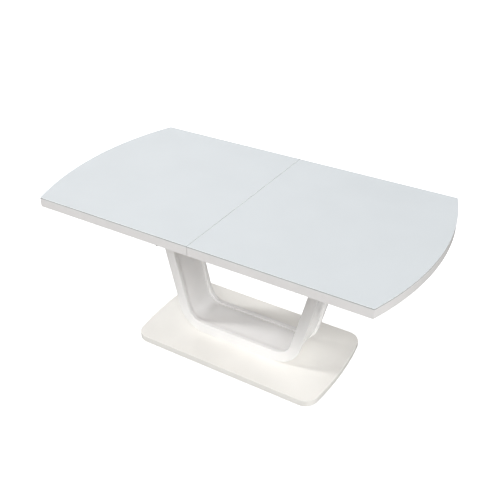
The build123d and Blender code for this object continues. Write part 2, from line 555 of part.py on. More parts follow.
# ---- folding leaf, stored in the well under the seam --------------------------------------
LEAF_HALF_W = TOP_W / 4                           # each leaf panel is half the table's width
lx = LEAF_L / 2 - SEAM / 2
GAP_Z = 2.0                                       # felt pads between the folded glass faces
leaf_z = [BEAM_Z0, BEAM_Z0 + BOARD_T]
leaf_z += [leaf_z[-1] + GLASS_T]
leaf_z += [leaf_z[-1] + GAP_Z]
leaf_z += [leaf_z[-1] + GLASS_T]
leaf_z += [leaf_z[-1] + BOARD_T]
panels = [block(-lx, lx, -LEAF_HALF_W, LEAF_HALF_W, a, b) for a, b in zip(leaf_z, leaf_z[1:])]
low_board, low_glass, _, up_glass, up_board = panels
save("leaf_glasses", low_glass, up_glass)
FELT_R, FELT_IN = 12.0, 40.0
save("leaf_felt_pads", *[rod((x, y, leaf_z[2]), (0, 0, 1), FELT_R, GAP_Z)
                         for x in (FELT_IN - lx, lx - FELT_IN)
                         for y in (FELT_IN - LEAF_HALF_W, LEAF_HALF_W - FELT_IN)])

# hinges on the panels' rear edges, knuckles on the line where the glass faces meet
KNUCKLE_R, HINGE_PIN_R, HINGE_T, HINGE_W, HINGE_H = 5.0, 2.0, 2.0, 60.0, 22.0
HINGE_GAP, TUBE_GAP = 1.5, 0.2                    # between the two leaves, between knuckles
HINGE_X = 130.0
hinge_y = LEAF_HALF_W + HINGE_T + KNUCKLE_R
hinge_z = (leaf_z[2] + leaf_z[3]) / 2
plates, hinge_pins = [], []
for x in (-HINGE_X, 0.0, HINGE_X):
    x0, x1 = x - HINGE_W / 2, x + HINGE_W / 2
    cuts = [x0 + HINGE_W * k / 5 for k in range(6)]
    for up, tubes in ((1, (0, 2, 4)), (-1, (1, 3))):
        z0, z1 = sorted((hinge_z + up * HINGE_GAP, hinge_z + up * HINGE_H))
        leafp = block(x0, x1, LEAF_HALF_W, LEAF_HALF_W + HINGE_T, z0, z1)
        for k in tubes:
            a, b = cuts[k] + TUBE_GAP, cuts[k + 1] - TUBE_GAP
            leafp += rod((a, hinge_y, hinge_z), (1, 0, 0), KNUCKLE_R, b - a)
            web = sorted((hinge_z + up * HINGE_GAP, hinge_z + up * KNUCKLE_R))
            leafp += block(a, b, LEAF_HALF_W + HINGE_T / 2, hinge_y, *web)
        leafp -= rod((x0 - 1, hinge_y, hinge_z), (1, 0, 0), HINGE_PIN_R + RUN, HINGE_W + 2)
        plates.append(leafp)
    hinge_pins.append(rod((x0 - 1, hinge_y, hinge_z), (1, 0, 0), HINGE_PIN_R, HINGE_W + 2))
save("leaf_hinge_plates", *plates)

# lift arms beside the folded leaf, from stands on the leaf rails to pins in the lower board
ARM_T, ARM_H = 4.0, 9.0
STAND_T, STAND_HALF, STAND_OVER = 3.0, 18.0, 14.0
ARM_PIN_HEAD_R, ARM_PIN_HEAD_H, ARM_PIN_IN = 6.5, 2.5, 24.0
ARM_X = lx + 4.0
STAND_X = ARM_X + ARM_T + RUN
arm_a, arm_b = (-150.0, leaf_z[2] + 2), (50.0, leaf_z[1] - BOARD_T / 2)
arms, stands, arm_pins = [], [], []
span = math.dist(arm_a, arm_b)
tilt = math.degrees(math.atan2(arm_b[1] - arm_a[1], arm_b[0] - arm_a[0]))
arm = block(ARM_X, ARM_X + ARM_T, 0, span, -ARM_H, ARM_H)
for y in (0, span):
    arm += rod((ARM_X, y, 0), (1, 0, 0), ARM_H, ARM_T)
for y in (0, span):
    arm -= rod((ARM_X - 1, y, 0), (1, 0, 0), AXLE_R + RUN, ARM_T + 2)
arm = Pos(0, arm_a[0], arm_a[1]) * Rot(tilt, 0, 0) * arm
stand_y = (arm_a[0] - STAND_HALF, arm_a[0] + STAND_HALF)
stand = block(STAND_X, STAND_X + STAND_T, *stand_y, BEAM_Z0, arm_a[1] + STAND_OVER)
stand += block(STAND_X, LEAF_RAIL_X1 - 2, *stand_y, BEAM_Z0, BEAM_Z0 + STAND_T)
stand -= rod((ARM_X, *arm_a), (1, 0, 0), AXLE_R + RUN, 20)
pin_head = (ARM_PIN_HEAD_R, ARM_PIN_HEAD_H)
pin_a = screw((ARM_X - RUN, *arm_a), (1, 0, 0), AXLE_R, ARM_T + STAND_T + 3, *pin_head)
pin_b = screw((ARM_X + ARM_T + RUN, *arm_b), (-1, 0, 0), AXLE_R, ARM_T + ARM_PIN_IN, *pin_head)
stand -= rod((ARM_X, *arm_b), (1, 0, 0), 9, 20)
pin_hole = rod((lx + 1, *arm_b), (-1, 0, 0), AXLE_R + RUN, ARM_PIN_IN)
low_board = low_board - pin_hole - mirrored(pin_hole)
save("leaf_lower_board", low_board)
save("leaf_upper_board", up_board)
save("leaf_lift_arms", arm, mirrored(arm))
save("leaf_arm_stands", stand, mirrored(stand))
save("leaf_pins", *hinge_pins, pin_a, pin_b, mirrored(pin_a), mirrored(pin_b))
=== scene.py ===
import math

import bmesh
import bpy
from mathutils import Matrix, Vector


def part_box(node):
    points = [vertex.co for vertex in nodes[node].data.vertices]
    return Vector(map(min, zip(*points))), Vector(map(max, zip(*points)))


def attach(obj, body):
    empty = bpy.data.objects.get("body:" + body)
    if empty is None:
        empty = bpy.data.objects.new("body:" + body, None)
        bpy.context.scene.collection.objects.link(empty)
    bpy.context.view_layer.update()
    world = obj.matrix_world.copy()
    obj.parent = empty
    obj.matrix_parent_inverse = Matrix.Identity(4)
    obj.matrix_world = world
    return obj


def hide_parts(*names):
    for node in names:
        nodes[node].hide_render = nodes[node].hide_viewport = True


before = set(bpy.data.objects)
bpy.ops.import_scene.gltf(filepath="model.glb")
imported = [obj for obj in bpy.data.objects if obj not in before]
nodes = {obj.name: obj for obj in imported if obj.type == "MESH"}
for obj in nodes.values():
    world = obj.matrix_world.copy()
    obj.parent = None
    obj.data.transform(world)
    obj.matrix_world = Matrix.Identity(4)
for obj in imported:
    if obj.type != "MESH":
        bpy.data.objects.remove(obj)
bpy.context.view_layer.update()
scene = bpy.context.scene

# ---- Base plate ---------------------------------------------------------------------
# A thick MDF plate with softly bowed ends and a routed upper edge, sprayed a warm white
# on every face and polished. It lies on its glides and carries the pedestal.


def linear(code):
    """sRGB hex to a linear colour with alpha."""
    parts = [int(code[k:k + 2], 16) / 255 for k in (0, 2, 4)]
    return tuple(c / 12.92 if c <= 0.04045 else ((c + 0.055) / 1.055) ** 2.4
                 for c in parts) + (1.0,)


def add(tree, kind, sockets=None, stops=(), **settings):
    """One node with its attributes, its sockets linked or set, and a ramp's two stops.

    A stop is (place, hex). Among the settings an underscore stands for a space.
    """
    node = tree.nodes.new(kind)
    for key, value in settings.items():
        if hasattr(node, key):
            setattr(node, key, value)
        else:
            node.inputs[key.replace("_", " ")].default_value = value
    for key, value in (sockets or {}).items():
        if isinstance(value, bpy.types.NodeSocket):
            tree.links.new(value, node.inputs[key])
        else:
            node.inputs[key].default_value = value
    for k, (place, code) in enumerate(stops):
        element = node.color_ramp.elements[k]
        element.position, element.color = place, linear(code)
    return node


def start_material(name):
    """Empty material and its tree, with the object's own coordinates ready."""
    material = bpy.data.materials.new(name)
    material.use_nodes = True
    tree = material.node_tree
    tree.nodes.clear()
    return material, tree, add(tree, "ShaderNodeTexCoord").outputs["Object"]


# White two-pack lacquer, sprayed and polished: a soft gloss whose reflections waver a little
# over the orange peel that spraying leaves, 3 mm across. Two whites that hardly differ cloud
# over 125 mm, so that a wide face isn't one flat tone.
def polished_lacquer(name, light, dark):
    material, tree, place = start_material(name)
    coat = add(tree, "ShaderNodeTexNoise", {"Vector": place}, Scale=1 / 0.125, Detail=3.0)
    tone = add(tree, "ShaderNodeValToRGB", {"Fac": coat.outputs["Fac"]},
               stops=((0.35, dark), (0.65, light)))
    peel = add(tree, "ShaderNodeTexNoise", {"Vector": place}, Scale=1 / 0.003, Detail=1.0)
    waver = add(tree, "ShaderNodeBump", {"Height": peel.outputs["Fac"]},
                Strength=0.08, Distance=0.0002)
    shader = add(tree, "ShaderNodeBsdfPrincipled",
                 {"Base Color": tone.outputs["Color"], "Normal": waver.outputs["Normal"]},
                 Roughness=0.3, IOR=1.5, Coat_Weight=0.5, Coat_Roughness=0.12)
    add(tree, "ShaderNodeOutputMaterial", {"Surface": shader.outputs["BSDF"]})
    return material


def coat_nodes(material, *names):
    """These CAD nodes keep their shape and take this finish."""
    for name in names:
        nodes[name].data.materials.clear()
        nodes[name].data.materials.append(material)


# the plate's white is the creamiest of the three
cream_lacquer = polished_lacquer("mdf_cream_white_polished_lacquer", "F8F6F1", "F5F3EE")
coat_nodes(cream_lacquer, "base_plate")

# ---- Glides -------------------------------------------------------------------------
# Six discs of dense grey needled felt with short stems, pushed into the plate from below.
# They carry the table and keep it from scratching the floor.


# Needled wool felt: hardly any gloss, a mix of light and dark fibres some 0.5 mm wide and
# drawn at 1.5 mm so that they show, standing up as a soft uneven nap.
def felt(name, light, dark):
    material, tree, place = start_material(name)
    fibres = add(tree, "ShaderNodeTexNoise", {"Vector": place},
                 Scale=1 / 0.0015, Detail=6.0, Roughness=0.75)
    tone = add(tree, "ShaderNodeValToRGB", {"Fac": fibres.outputs["Fac"]},
               stops=((0.3, dark), (0.7, light)))
    nap = add(tree, "ShaderNodeBump", {"Height": fibres.outputs["Fac"]},
              Strength=0.6, Distance=0.0006)
    shader = add(tree, "ShaderNodeBsdfPrincipled",
                 {"Base Color": tone.outputs["Color"], "Normal": nap.outputs["Normal"]},
                 Roughness=0.95, IOR=1.5, Sheen_Weight=0.35)
    add(tree, "ShaderNodeOutputMaterial", {"Surface": shader.outputs["BSDF"]})
    return material


grey_felt = felt("needled_grey_felt", "6E6B68", "47443F")
coat_nodes(grey_felt, "base_glides")

# ---- Pedestal: panels ---------------------------------------------------------------
# Two U-shaped MDF panels, front and rear, sawn in one piece and sprayed a cooler white than
# the base. Their arrises are rounded by hand before spraying and catch the light as thin lines.
ARRIS_R = 0.0015
white_lacquer = polished_lacquer("mdf_white_polished_lacquer", "F5F4F3", "F2F1F0")


def plain(piece):
    """Turn a piece and its modifiers into a plain mesh."""
    graph = bpy.context.evaluated_depsgraph_get()
    data = bpy.data.meshes.new_from_object(piece.evaluated_get(graph))
    piece.modifiers.clear()
    piece.data = data
    return piece


def eased(name, node, radius, material, body="base_frame"):
    """A copy of a CAD node with its arrises rounded, which then stands for the node."""
    weld, flat, sharp, rounds = 1e-6, math.radians(0.3), math.radians(40), 3
    data = nodes[node].data.copy()
    shape = bmesh.new()
    shape.from_mesh(data)
    bmesh.ops.remove_doubles(shape, verts=shape.verts, dist=weld)
    bmesh.ops.dissolve_limit(shape, angle_limit=flat, verts=shape.verts, edges=shape.edges)
    bmesh.ops.recalc_face_normals(shape, faces=shape.faces)
    shape.to_mesh(data)
    shape.free()
    data.materials.clear()
    data.materials.append(material)
    piece = bpy.data.objects.new(name, data)
    scene.collection.objects.link(piece)
    for polygon in data.polygons:
        polygon.use_smooth = True
    bevel = piece.modifiers.new("arris", "BEVEL")
    bevel.width, bevel.segments, bevel.harden_normals = radius, rounds, True
    bevel.limit_method, bevel.angle_limit = "ANGLE", sharp
    piece = plain(piece)
    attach(piece, body)
    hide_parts(node)
    return piece


for side in ("front", "rear"):
    eased(f"pedestal_{side}_panel_sprayed", f"pedestal_{side}_panel", ARRIS_R,
                  white_lacquer)

# ---- Pedestal: skins ----------------------------------------------------------------
# Two sheets of bending plywood glued between the panels, 10 mm inside their outline, which
# leaves a lip all round. They are filled, sprayed and polished with the panels, and so is
# the block under them.
SKIN_EASE = 0.0004
coat_nodes(white_lacquer, "pedestal_foot_block")
for side in ("outer", "inner"):
    eased(f"pedestal_{side}_skin_sprayed", f"pedestal_{side}_skin", SKIN_EASE,
                  white_lacquer)

# ---- Pedestal: spacer blocks --------------------------------------------------------
# Planed pine blocks glued between the skins in the legs and the foot. They keep the skins
# apart and take the screws and bolts.


# Planed softwood: broad pale and amber growth bands about 12 mm apart, as a flat-sawn face
# shows them, wavering along the grain, with a dry low sheen and a fine fibrous surface.
def softwood(name, light, dark):
    material, tree, place = start_material(name)
    along = add(tree, "ShaderNodeMapping", {"Vector": place}, Scale=(1.0, 1.0, 0.12))
    # a ring repeats every tau / (20 x the scale) of a metre, so 25 gives 12.6 mm
    rings = add(tree, "ShaderNodeTexWave", {"Vector": along.outputs["Vector"]},
                wave_type="RINGS", rings_direction="Z", Scale=25.0, Distortion=3.0,
                Detail=3.0, Detail_Scale=1.5)
    tone = add(tree, "ShaderNodeValToRGB", {"Fac": rings.outputs["Fac"]},
               stops=((0.1, light), (0.7, dark)))
    fibre = add(tree, "ShaderNodeBump", {"Height": rings.outputs["Fac"]},
                Strength=0.15, Distance=0.0003)
    shader = add(tree, "ShaderNodeBsdfPrincipled",
                 {"Base Color": tone.outputs["Color"], "Normal": fibre.outputs["Normal"]},
                 Roughness=0.7, IOR=1.5)
    add(tree, "ShaderNodeOutputMaterial", {"Surface": shader.outputs["BSDF"]})
    return material


coat_nodes(softwood("pine_planed", "E2C794", "C99F66"), "pedestal_core_blocks")

# ---- Leg brackets and every screw and bolt ------------------------------------------
# Folded steel plates cap the legs. Pan-head screws with a cross recess hold wood, and
# socket-head bolts hold the pedestal and the rails, all zinc plated.


# Bright zinc on steel, rolled and then barrel plated: a cool silvery metal, clouded over
# 15 mm where the plating is thicker, its reflections soft. The rolled grain is finer than
# can be seen and is drawn at 0.8 mm.
def zinc(name, light, dark):
    material, tree, place = start_material(name)
    clouds = add(tree, "ShaderNodeTexNoise", {"Vector": place}, Scale=1 / 0.015, Detail=4.0)
    tone = add(tree, "ShaderNodeValToRGB", {"Fac": clouds.outputs["Fac"]},
               stops=((0.3, dark), (0.7, light)))
    haze = add(tree, "ShaderNodeMapRange", {"Value": clouds.outputs["Fac"]},
               To_Min=0.26, To_Max=0.42)
    grain = add(tree, "ShaderNodeTexNoise", {"Vector": place}, Scale=1 / 0.0008, Detail=2.0)
    bump = add(tree, "ShaderNodeBump", {"Height": grain.outputs["Fac"]},
               Strength=0.05, Distance=0.0002)
    shader = add(tree, "ShaderNodeBsdfPrincipled",
                 {"Base Color": tone.outputs["Color"], "Roughness": haze.outputs["Result"],
                  "Normal": bump.outputs["Normal"]}, Metallic=1.0)
    add(tree, "ShaderNodeOutputMaterial", {"Surface": shader.outputs["BSDF"]})
    return material


zinc_steel = zinc("steel_bright_zinc", "D3D7DC", "B4B9BF")
coat_nodes(zinc_steel, "leg_brackets")


def screw_tree():
    """Screws on points: a pan head with a cross recess or a hexagon socket, on a plain shank."""
    # shares of the head's radius, and of its height for the depths
    under_head, bar_long, bar_wide, bar_deep, bore_r, bore_deep = 0.82, 1.15, 0.26, 1.1, 0.5, 1.3
    tree = bpy.data.node_groups.new("screws_on_points", "GeometryNodeTree")
    face = tree.interface
    face.new_socket("Places", in_out="INPUT", socket_type="NodeSocketGeometry")
    for label in ("Shank Radius", "Shank Length", "Head Radius", "Head Height"):
        face.new_socket(label, in_out="INPUT", socket_type="NodeSocketFloat")
    face.new_socket("Hexagon Socket", in_out="INPUT", socket_type="NodeSocketBool")
    face.new_socket("Turn Seed", in_out="INPUT", socket_type="NodeSocketInt")
    face.new_socket("Metal", in_out="INPUT", socket_type="NodeSocketMaterial")
    face.new_socket("Screws", in_out="OUTPUT", socket_type="NodeSocketGeometry")
    given = tree.nodes.new("NodeGroupInput").outputs
    radius, height = given["Head Radius"], given["Head Height"]

    # the shank goes up from the origin
    half = add(tree, "ShaderNodeMath", {0: given["Shank Length"], 1: 0.5}, operation="MULTIPLY")
    lift = add(tree, "ShaderNodeCombineXYZ", {"Z": half.outputs["Value"]})
    shank = add(tree, "GeometryNodeMeshCylinder",
                {"Radius": given["Shank Radius"], "Depth": given["Shank Length"]}, Vertices=16)
    shank = add(tree, "GeometryNodeTransform",
                {"Geometry": shank.outputs["Mesh"], "Translation": lift.outputs["Vector"]})

    # the head lies below the origin and narrows to its outer face
    below = add(tree, "ShaderNodeMath", {0: height, 1: -1.0}, operation="MULTIPLY")
    sunk = add(tree, "ShaderNodeCombineXYZ", {"Z": below.outputs["Value"]})
    rim = add(tree, "ShaderNodeMath", {0: radius, 1: under_head}, operation="MULTIPLY")
    head = add(tree, "GeometryNodeMeshCone",
               {"Radius Top": radius, "Radius Bottom": rim.outputs["Value"], "Depth": height},
               Vertices=24)
    head = add(tree, "GeometryNodeTransform",
               {"Geometry": head.outputs["Mesh"], "Translation": sunk.outputs["Vector"]})

    # cross recess: two bars; hexagon socket: a six-sided bore
    extent = add(tree, "ShaderNodeCombineXYZ", {"X": radius, "Y": radius, "Z": height})
    cross = add(tree, "GeometryNodeMeshBoolean", operation="UNION")
    for share in ((bar_long, bar_wide, bar_deep), (bar_wide, bar_long, bar_deep)):
        size = add(tree, "ShaderNodeVectorMath", {0: extent.outputs["Vector"], 1: share},
                   operation="MULTIPLY")
        bar = add(tree, "GeometryNodeMeshCube", {"Size": size.outputs["Vector"]})
        tree.links.new(bar.outputs["Mesh"], cross.inputs["Mesh 2"])
    bore_size = add(tree, "ShaderNodeVectorMath",
                    {0: extent.outputs["Vector"], 1: (bore_r, bore_r, bore_deep)},
                    operation="MULTIPLY")
    bore_parts = add(tree, "ShaderNodeSeparateXYZ", {"Vector": bore_size.outputs["Vector"]})
    bore = add(tree, "GeometryNodeMeshCylinder",
               {"Radius": bore_parts.outputs["X"], "Depth": bore_parts.outputs["Z"]}, Vertices=6)
    tool = add(tree, "GeometryNodeSwitch",
               {"Switch": given["Hexagon Socket"], "False": cross.outputs["Mesh"],
                "True": bore.outputs["Mesh"]}, input_type="GEOMETRY")
    tool = add(tree, "GeometryNodeTransform",
               {"Geometry": tool.outputs["Output"], "Translation": sunk.outputs["Vector"]})
    cut = add(tree, "GeometryNodeMeshBoolean",
              {"Mesh 1": head.outputs["Geometry"], "Mesh 2": tool.outputs["Geometry"]},
              operation="DIFFERENCE")
    whole = add(tree, "GeometryNodeJoinGeometry")
    for part in (shank.outputs["Geometry"], cut.outputs["Mesh"]):
        tree.links.new(part, whole.inputs["Geometry"])

    # each screw points along its axis and is turned by chance, as a driver leaves it
    axis = add(tree, "GeometryNodeInputNamedAttribute", data_type="FLOAT_VECTOR", Name="axis")
    point = add(tree, "FunctionNodeAlignRotationToVector",
                {"Vector": axis.outputs["Attribute"]}, axis="Z")
    spin = add(tree, "FunctionNodeRandomValue", {"Seed": given["Turn Seed"]},
               data_type="FLOAT", Max=math.tau)
    turn = add(tree, "FunctionNodeAxisAngleToRotation", {"Angle": spin.outputs["Value"]},
               Axis=(0, 0, 1))
    both = add(tree, "FunctionNodeRotateRotation",
               {"Rotation": point.outputs["Rotation"], "Rotate By": turn.outputs["Rotation"]},
               rotation_space="LOCAL")
    placed = add(tree, "GeometryNodeInstanceOnPoints",
                 {"Points": given["Places"], "Instance": whole.outputs["Geometry"],
                  "Rotation": both.outputs["Rotation"]})
    real = add(tree, "GeometryNodeRealizeInstances", {"Geometry": placed.outputs["Instances"]})
    dressed = add(tree, "GeometryNodeSetMaterial",
                  {"Geometry": real.outputs["Geometry"], "Material": given["Metal"]})
    add(tree, "NodeGroupOutput", {"Screws": dressed.outputs["Geometry"]})
    return tree


screws_on_points = screw_tree()


def screws(name, body, node, groups):
    """One object of screws, from groups of (places and axes, sizes, hexagon socket).

    The sizes are the shank's radius and length, then the head's radius and height.
    """
    sliver = 1e-6
    whole = bmesh.new()
    for seed, (places, sizes, hexagon) in enumerate(groups):
        points = bpy.data.meshes.new("points")
        points.from_pydata([place for place, axis in places], [], [])
        axes = points.attributes.new("axis", "FLOAT_VECTOR", "POINT")
        for entry, (place, axis) in zip(axes.data, places):
            entry.vector = axis
        holder = bpy.data.objects.new("points", points)
        scene.collection.objects.link(holder)
        modifier = holder.modifiers.new("screws", "NODES")
        modifier.node_group = screws_on_points
        values = dict(zip(("Shank Radius", "Shank Length", "Head Radius", "Head Height"), sizes))
        values.update({"Hexagon Socket": hexagon, "Turn Seed": seed, "Metal": zinc_steel})
        for socket in screws_on_points.interface.items_tree:
            if socket.name in values:
                modifier[socket.identifier] = values[socket.name]
        graph = bpy.context.evaluated_depsgraph_get()
        made = bpy.data.meshes.new_from_object(holder.evaluated_get(graph))
        whole.from_mesh(made)
        bpy.data.objects.remove(holder)
    # the cut recesses leave slivers, which are closed up
    bmesh.ops.remove_doubles(whole, verts=whole.verts, dist=sliver)
    bmesh.ops.dissolve_degenerate(whole, edges=whole.edges, dist=sliver)
    data = bpy.data.meshes.new(name)
    whole.to_mesh(data)
    whole.free()
    data.validate()
    data.materials.append(zinc_steel)
    piece = bpy.data.objects.new(name, data)
    scene.collection.objects.link(piece)
    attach(piece, body)
    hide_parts(node)


# the plate's bolts go up from counterbores, six in two rows
UP = (0, 0, 1)
PLATE_BOLT, PLATE_ROW_Y = (0.004, 0.038, 0.008, 0.006), 0.055
low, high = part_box("pedestal_bolts")
plate_head_r, plate_head_h = PLATE_BOLT[2:]
plate_places = [((x, y, low.z + plate_head_h), UP)
                for x in (low.x + plate_head_r, 0.0, high.x - plate_head_r)
                for y in (-PLATE_ROW_Y, PLATE_ROW_Y)]
screws("pedestal_socket_bolts", "base_frame", "pedestal_bolts",
       [(plate_places, PLATE_BOLT, True)])

# each bracket has four screws through its flange, at right angles to the leg, and four bolts up
FLARE, BRACKET_T, FLANGE_L = math.radians(13.5), 0.006, 0.060
FLANGE_SCREW, FLANGE_DOWN, FLANGE_Y = (0.0025, 0.022, 0.005, 0.003), (0.020, 0.045), 0.045
RAIL_BOLT, RAIL_BOLT_IN, RAIL_BOLT_Y = (0.004, 0.025, 0.007, 0.005), 0.014, 0.08
leg_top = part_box("leg_brackets")[1].z - BRACKET_T
rail_low, rail_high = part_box("right_cross_rail")
flange_foot = min((v.co for v in nodes["leg_brackets"].data.vertices if v.co.x > 0),
                  key=lambda c: (round(c.z, 5), c.x))
flange_places, rail_bolt_places = [], []
for way in (-1, 1):
    for down in FLANGE_DOWN:
        out = flange_foot.x + (FLANGE_L - down) * math.tan(FLARE)
        flange_places += [((way * out, y, leg_top - down),
                           (way * math.cos(FLARE), 0, -math.sin(FLARE)))
                          for y in (-FLANGE_Y, FLANGE_Y)]
    rail_bolt_places += [((way * x, y, leg_top), UP)
                         for x in (rail_low.x + RAIL_BOLT_IN, rail_high.x - RAIL_BOLT_IN)
                         for y in (-RAIL_BOLT_Y, RAIL_BOLT_Y)]
screws("leg_bracket_screws", "base_frame", "leg_fixings",
       [(flange_places, FLANGE_SCREW, False), (rail_bolt_places, RAIL_BOLT, True)])

# ---- Rails and beams ----------------------------------------------------------------
# Planed beech: two cross rails bolted to the brackets, two long side beams screwed on top
# of them, and two thinner rails that carry the stored leaf. Edges are broken by hand.


# Oiled beech: pale pinkish tan with straight grain, in streaks 110 mm long and 8 mm wide, and
# the short dark flecks of its rays, 1 to 3 mm long and drawn a little coarser. A low oily sheen.
def beech(name, stretch, light, dark, fleck):
    material, tree, place = start_material(name)
    fine = add(tree, "ShaderNodeMapping", {"Vector": place},
               Scale=tuple(1.0 if s else 14.0 for s in stretch))
    grain = add(tree, "ShaderNodeTexNoise", {"Vector": fine.outputs["Vector"]},
                Scale=9.0, Detail=6.0, Roughness=0.65)
    tone = add(tree, "ShaderNodeValToRGB", {"Fac": grain.outputs["Fac"]},
               stops=((0.3, dark), (0.7, light)))
    short = add(tree, "ShaderNodeMapping", {"Vector": place},
                Scale=tuple(0.3 if s else 1.0 for s in stretch))
    rays = add(tree, "ShaderNodeTexVoronoi", {"Vector": short.outputs["Vector"]},
               Scale=1 / 0.0022)
    dots = add(tree, "ShaderNodeMapRange", {"Value": rays.outputs["Distance"]},
               From_Min=0.10, From_Max=0.22, To_Min=0.45, To_Max=0.0)
    flecked = add(tree, "ShaderNodeMix",
                  {"Factor": dots.outputs["Result"], "A": tone.outputs["Color"]},
                  data_type="RGBA", B=linear(fleck))
    fibre = add(tree, "ShaderNodeBump", {"Height": grain.outputs["Fac"]},
                Strength=0.12, Distance=0.0003)
    shader = add(tree, "ShaderNodeBsdfPrincipled",
                 {"Base Color": flecked.outputs["Result"], "Normal": fibre.outputs["Normal"]},
                 Roughness=0.5, IOR=1.5, Coat_Weight=0.1, Coat_Roughness=0.3)
    add(tree, "ShaderNodeOutputMaterial", {"Surface": shader.outputs["BSDF"]})
    return material


beech_x = beech("beech_oiled_lengthways", (1, 0, 0), "D9B78D", "C49A6C", "A87B52")
beech_y = beech("beech_oiled_crossways", (0, 1, 0), "DAB88F", "C69D70", "A87B52")
RAIL_EASE = 0.0012
for node, material in (("left_cross_rail", beech_y), ("right_cross_rail", beech_y),
                       ("leaf_rails", beech_y), ("front_side_beam", beech_x),
                       ("rear_side_beam", beech_x)):
    eased(f"{node}_planed", node, RAIL_EASE, material)

# screws from below into the beams, and thin-headed ones through the runners' tabs
CROSS_SCREW, CROSS_IN = (0.0025, 0.060, 0.005, 0.003), 0.025
LEAF_SCREW, LEAF_SCREW_X = (0.0025, 0.050, 0.005, 0.003), (0.198, 0.224)
TAB_SCREW, TAB_X, CHANNEL_T = (0.002, 0.016, 0.004, 0.0019), 0.018, 0.002
beam_low, beam_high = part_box("rear_side_beam")
middle = (beam_low.y + beam_high.y) / 2
leaf_rail_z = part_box("leaf_rails")[0].z
runner_low, runner_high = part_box("right_runner_inners")
runner_z = (runner_low.z + runner_high.z) / 2
cross_places = [((sx * x, sy * middle, rail_low.z), UP)
                for x in (rail_low.x + CROSS_IN, rail_high.x - CROSS_IN)
                for sx in (-1, 1) for sy in (-1, 1)]
leaf_places = [((sx * x, sy * middle, leaf_rail_z), UP)
               for x in LEAF_SCREW_X for sx in (-1, 1) for sy in (-1, 1)]
tab_places = [((sx * TAB_X, sy * (beam_low.y - CHANNEL_T), runner_z), (0, sy, 0))
              for sx in (-1, 1) for sy in (-1, 1)]
screws("frame_cross_screws", "base_frame", "frame_screws",
       [(cross_places, CROSS_SCREW, False), (leaf_places, LEAF_SCREW, False),
        (tab_places, TAB_SCREW, False)])

# ---- Telescopic runners -------------------------------------------------------------
# Three nested members on each side of each half, extruded in aluminium: the channel on the
# beam, the middle one, and the tee that carries the half on its angles.


# Clear anodised aluminium as it leaves the die: satin silver with fine die lines along its
# length, about 0.3 mm apart and drawn at 0.8 mm.
def die_drawn(name, light, dark):
    material, tree, place = start_material(name)
    lines = add(tree, "ShaderNodeMapping", {"Vector": place}, Scale=(0.01, 1.0, 1.0))
    drawn = add(tree, "ShaderNodeTexNoise", {"Vector": lines.outputs["Vector"]},
                Scale=1 / 0.0008, Detail=3.0)
    tone = add(tree, "ShaderNodeValToRGB", {"Fac": drawn.outputs["Fac"]},
               stops=((0.3, dark), (0.7, light)))
    haze = add(tree, "ShaderNodeMapRange", {"Value": drawn.outputs["Fac"]},
               To_Min=0.3, To_Max=0.45)
    bump = add(tree, "ShaderNodeBump", {"Height": drawn.outputs["Fac"]},
               Strength=0.12, Distance=0.0002)
    shader = add(tree, "ShaderNodeBsdfPrincipled",
                 {"Base Color": tone.outputs["Color"], "Roughness": haze.outputs["Result"],
                  "Normal": bump.outputs["Normal"]}, Metallic=1.0, Anisotropic=0.4)
    add(tree, "ShaderNodeOutputMaterial", {"Surface": shader.outputs["BSDF"]})
    return material


anodised = die_drawn("aluminium_clear_anodised", "DADCDE", "C2C5C8")
coat_nodes(anodised, "runner_outer_channels", "left_runner_middles", "right_runner_middles",
           "left_runner_inners", "right_runner_inners", "sync_bracket")

# ---- Synchroniser -------------------------------------------------------------------
# One moulded nylon pinion between two nylon racks, so that both halves move alike. It turns
# on a plated axle in an aluminium block on the rear beam; beech hangers hold the racks.


# Moulded black nylon: near black, a waxy half gloss, and the fine sparked texture of the
# mould, 0.4 mm across and drawn at 0.8 mm.
def moulded(name, light, dark, roughness):
    material, tree, place = start_material(name)
    spark = add(tree, "ShaderNodeTexNoise", {"Vector": place}, Scale=1 / 0.0008, Detail=2.0)
    tone = add(tree, "ShaderNodeValToRGB", {"Fac": spark.outputs["Fac"]},
               stops=((0.3, dark), (0.7, light)))
    bump = add(tree, "ShaderNodeBump", {"Height": spark.outputs["Fac"]},
               Strength=0.15, Distance=0.0002)
    shader = add(tree, "ShaderNodeBsdfPrincipled",
                 {"Base Color": tone.outputs["Color"], "Normal": bump.outputs["Normal"]},
                 Roughness=roughness, IOR=1.53)
    add(tree, "ShaderNodeOutputMaterial", {"Surface": shader.outputs["BSDF"]})
    return material


black_nylon = moulded("nylon_black_moulded", "26272A", "1B1C1E", 0.42)
coat_nodes(black_nylon, "sync_pinion", "left_rack", "right_rack", "seam_bushes")
coat_nodes(beech_x, "left_rack_hangers", "right_rack_hangers")
coat_nodes(zinc_steel, "sync_axle", "seam_pins")

# ---- Boards and edge strips of the two halves ---------------------------------------
# Each half is an 18 mm MDF board with strips glued under its edges, so that the edge looks
# deeper than the board is. Board and strips are sprayed as one, a shade greyer than the foot.
edge_lacquer = polished_lacquer("mdf_warm_white_lacquer", "F1EFEE", "EEECEB")

